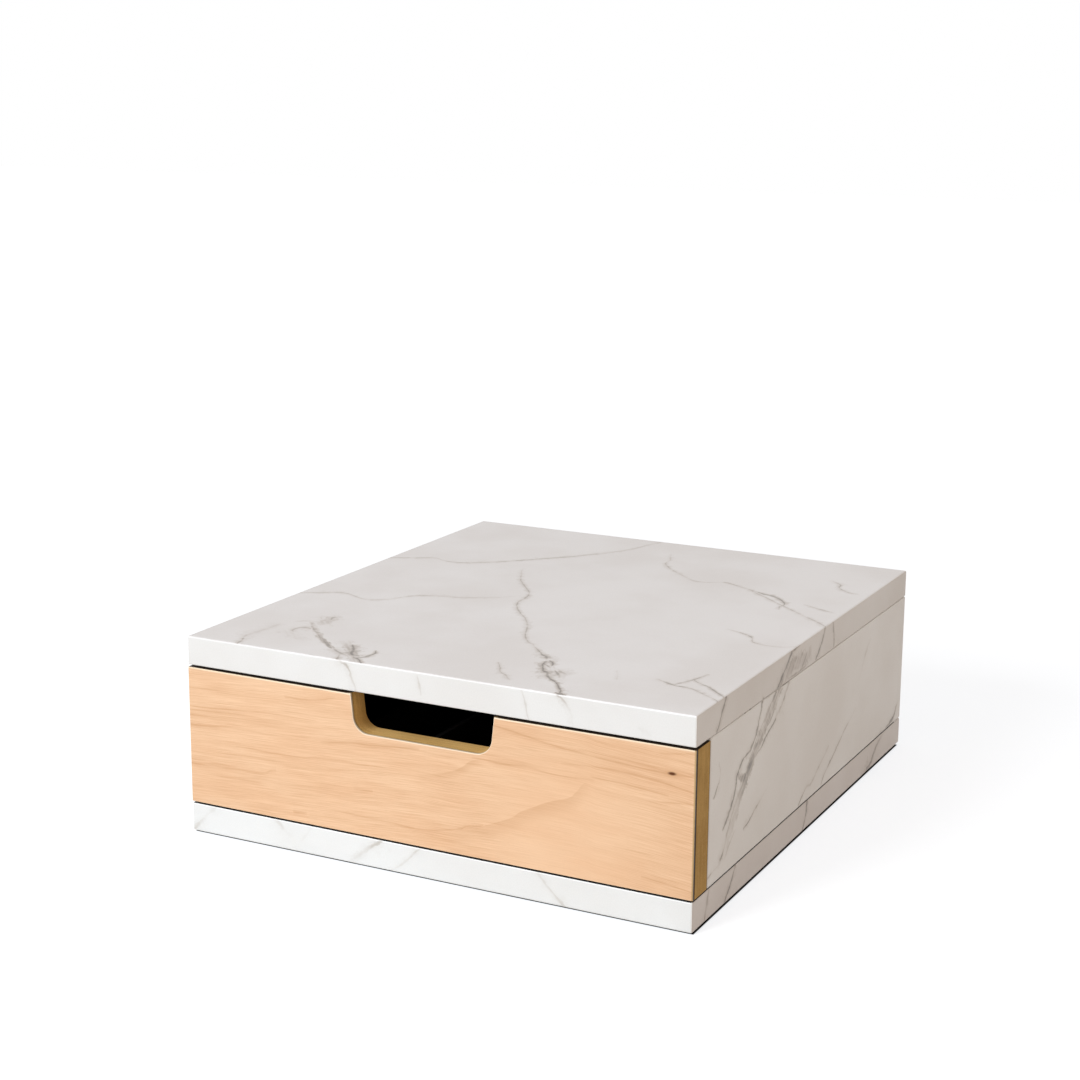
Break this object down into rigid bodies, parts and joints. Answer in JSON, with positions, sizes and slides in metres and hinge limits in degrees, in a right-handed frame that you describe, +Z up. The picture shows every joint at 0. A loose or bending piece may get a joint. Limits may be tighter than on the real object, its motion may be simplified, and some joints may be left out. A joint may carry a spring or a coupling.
{
  "type": "coffee capsule drawer",
  "caption": "Low box with a flat stone-look top and one wood-faced drawer on ball slides, divided into lanes for coffee capsules, opened by a finger cutout.",
  "frame": {"origin": "on the standing surface, under the middle of the case", "axes": "+Z up, the drawer front faces -Y, +X to the right for someone who faces the drawer front"},
  "size_m": [0.295, 0.33, 0.1112],
  "materials": {
    "stone_laminate": "fibreboard faced with a satin white stone-look laminate, grey veins",
    "white_panel": "fibreboard with satin white faces",
    "dark_panel": "fibreboard with satin black faces and bare edges",
    "bare_core": "bare cut fibreboard, matt",
    "wood_facing": "light wood facing, fine level grain, satin",
    "thin_fibreboard": "thin hard fibreboard, black, matt",
    "beech_dowel": "plain turned wood",
    "zinc_steel": "bright zinc-plated sheet",
    "screw_steel": "yellow zinc-plated",
    "cage_steel": "oiled steel",
    "buffer_rubber": "matt black",
    "pad_felt": "dense dark pad, matt"
  },
  "bodies": {
    "case": {"top_board": "stone_laminate", "base_board": "stone_laminate", "left_side_board": "stone_laminate", "right_side_board": "stone_laminate", "back_panel": "white_panel", "pad_front_left": "pad_felt", "pad_front_right": "pad_felt", "pad_rear_left": "pad_felt", "pad_rear_right": "pad_felt", "case_screw_front_left": "screw_steel", "case_screw_front_right": "screw_steel", "case_screw_rear_left": "screw_steel", "case_screw_rear_right": "screw_steel", "dowel_front_left": "beech_dowel", "dowel_front_right": "beech_dowel", "dowel_rear_left": "beech_dowel", "dowel_rear_right": "beech_dowel", "cabinet_rail_left": "zinc_steel", "cabinet_rail_right": "zinc_steel", "rail_buffer_left": "buffer_rubber", "rail_buffer_right": "buffer_rubber", "cabinet_rail_screw_front_left": "screw_steel", "cabinet_rail_screw_front_right": "screw_steel", "cabinet_rail_screw_rear_left": "screw_steel", "cabinet_rail_screw_rear_right": "screw_steel"},
    "drawer": {"drawer_front_board": "bare_core", "drawer_front_facing": "wood_facing", "drawer_box_front": "dark_panel", "drawer_box_back": "dark_panel", "drawer_box_left": "dark_panel", "drawer_box_right": "dark_panel", "drawer_bottom": "thin_fibreboard", "lane_divider_1": "thin_fibreboard", "lane_divider_2": "thin_fibreboard", "lane_divider_3": "thin_fibreboard", "lane_divider_4": "thin_fibreboard", "front_screw_left": "screw_steel", "front_screw_right": "screw_steel", "drawer_rail_left": "zinc_steel", "drawer_rail_right": "zinc_steel", "drawer_rail_screw_front_left": "screw_steel", "drawer_rail_screw_front_right": "screw_steel", "drawer_rail_screw_rear_left": "screw_steel", "drawer_rail_screw_rear_right": "screw_steel"},
    "middle_rails": {"middle_rail_left": "zinc_steel", "middle_rail_right": "zinc_steel"},
    "outer_ball_cages": {"outer_ball_cage_left": "cage_steel", "outer_ball_cage_right": "cage_steel"},
    "inner_ball_cages": {"inner_ball_cage_left": "cage_steel", "inner_ball_cage_right": "cage_steel"}
  },
  "joints": [
    {"name": "drawer_slide", "type": "slide", "parent": "case", "child": "drawer", "axis": [0, -1, 0], "range_m": [0, 0.25]},
    {"name": "middle_rail_slide", "type": "slide", "parent": "case", "child": "middle_rails", "axis": [0, -1, 0], "range_m": [0, 0.125]},
    {"name": "outer_cage_slide", "type": "slide", "parent": "case", "child": "outer_ball_cages", "axis": [0, -1, 0], "range_m": [0, 0.0625]},
    {"name": "inner_cage_slide", "type": "slide", "parent": "case", "child": "inner_ball_cages", "axis": [0, -1, 0], "range_m": [0, 0.1875]}
  ],
  "couplings": [
    {"joint": "middle_rail_slide", "follows": "drawer_slide", "ratio": 0.5},
    {"joint": "outer_cage_slide", "follows": "drawer_slide", "ratio": 0.25},
    {"joint": "inner_cage_slide", "follows": "drawer_slide", "ratio": 0.75}
  ]
}
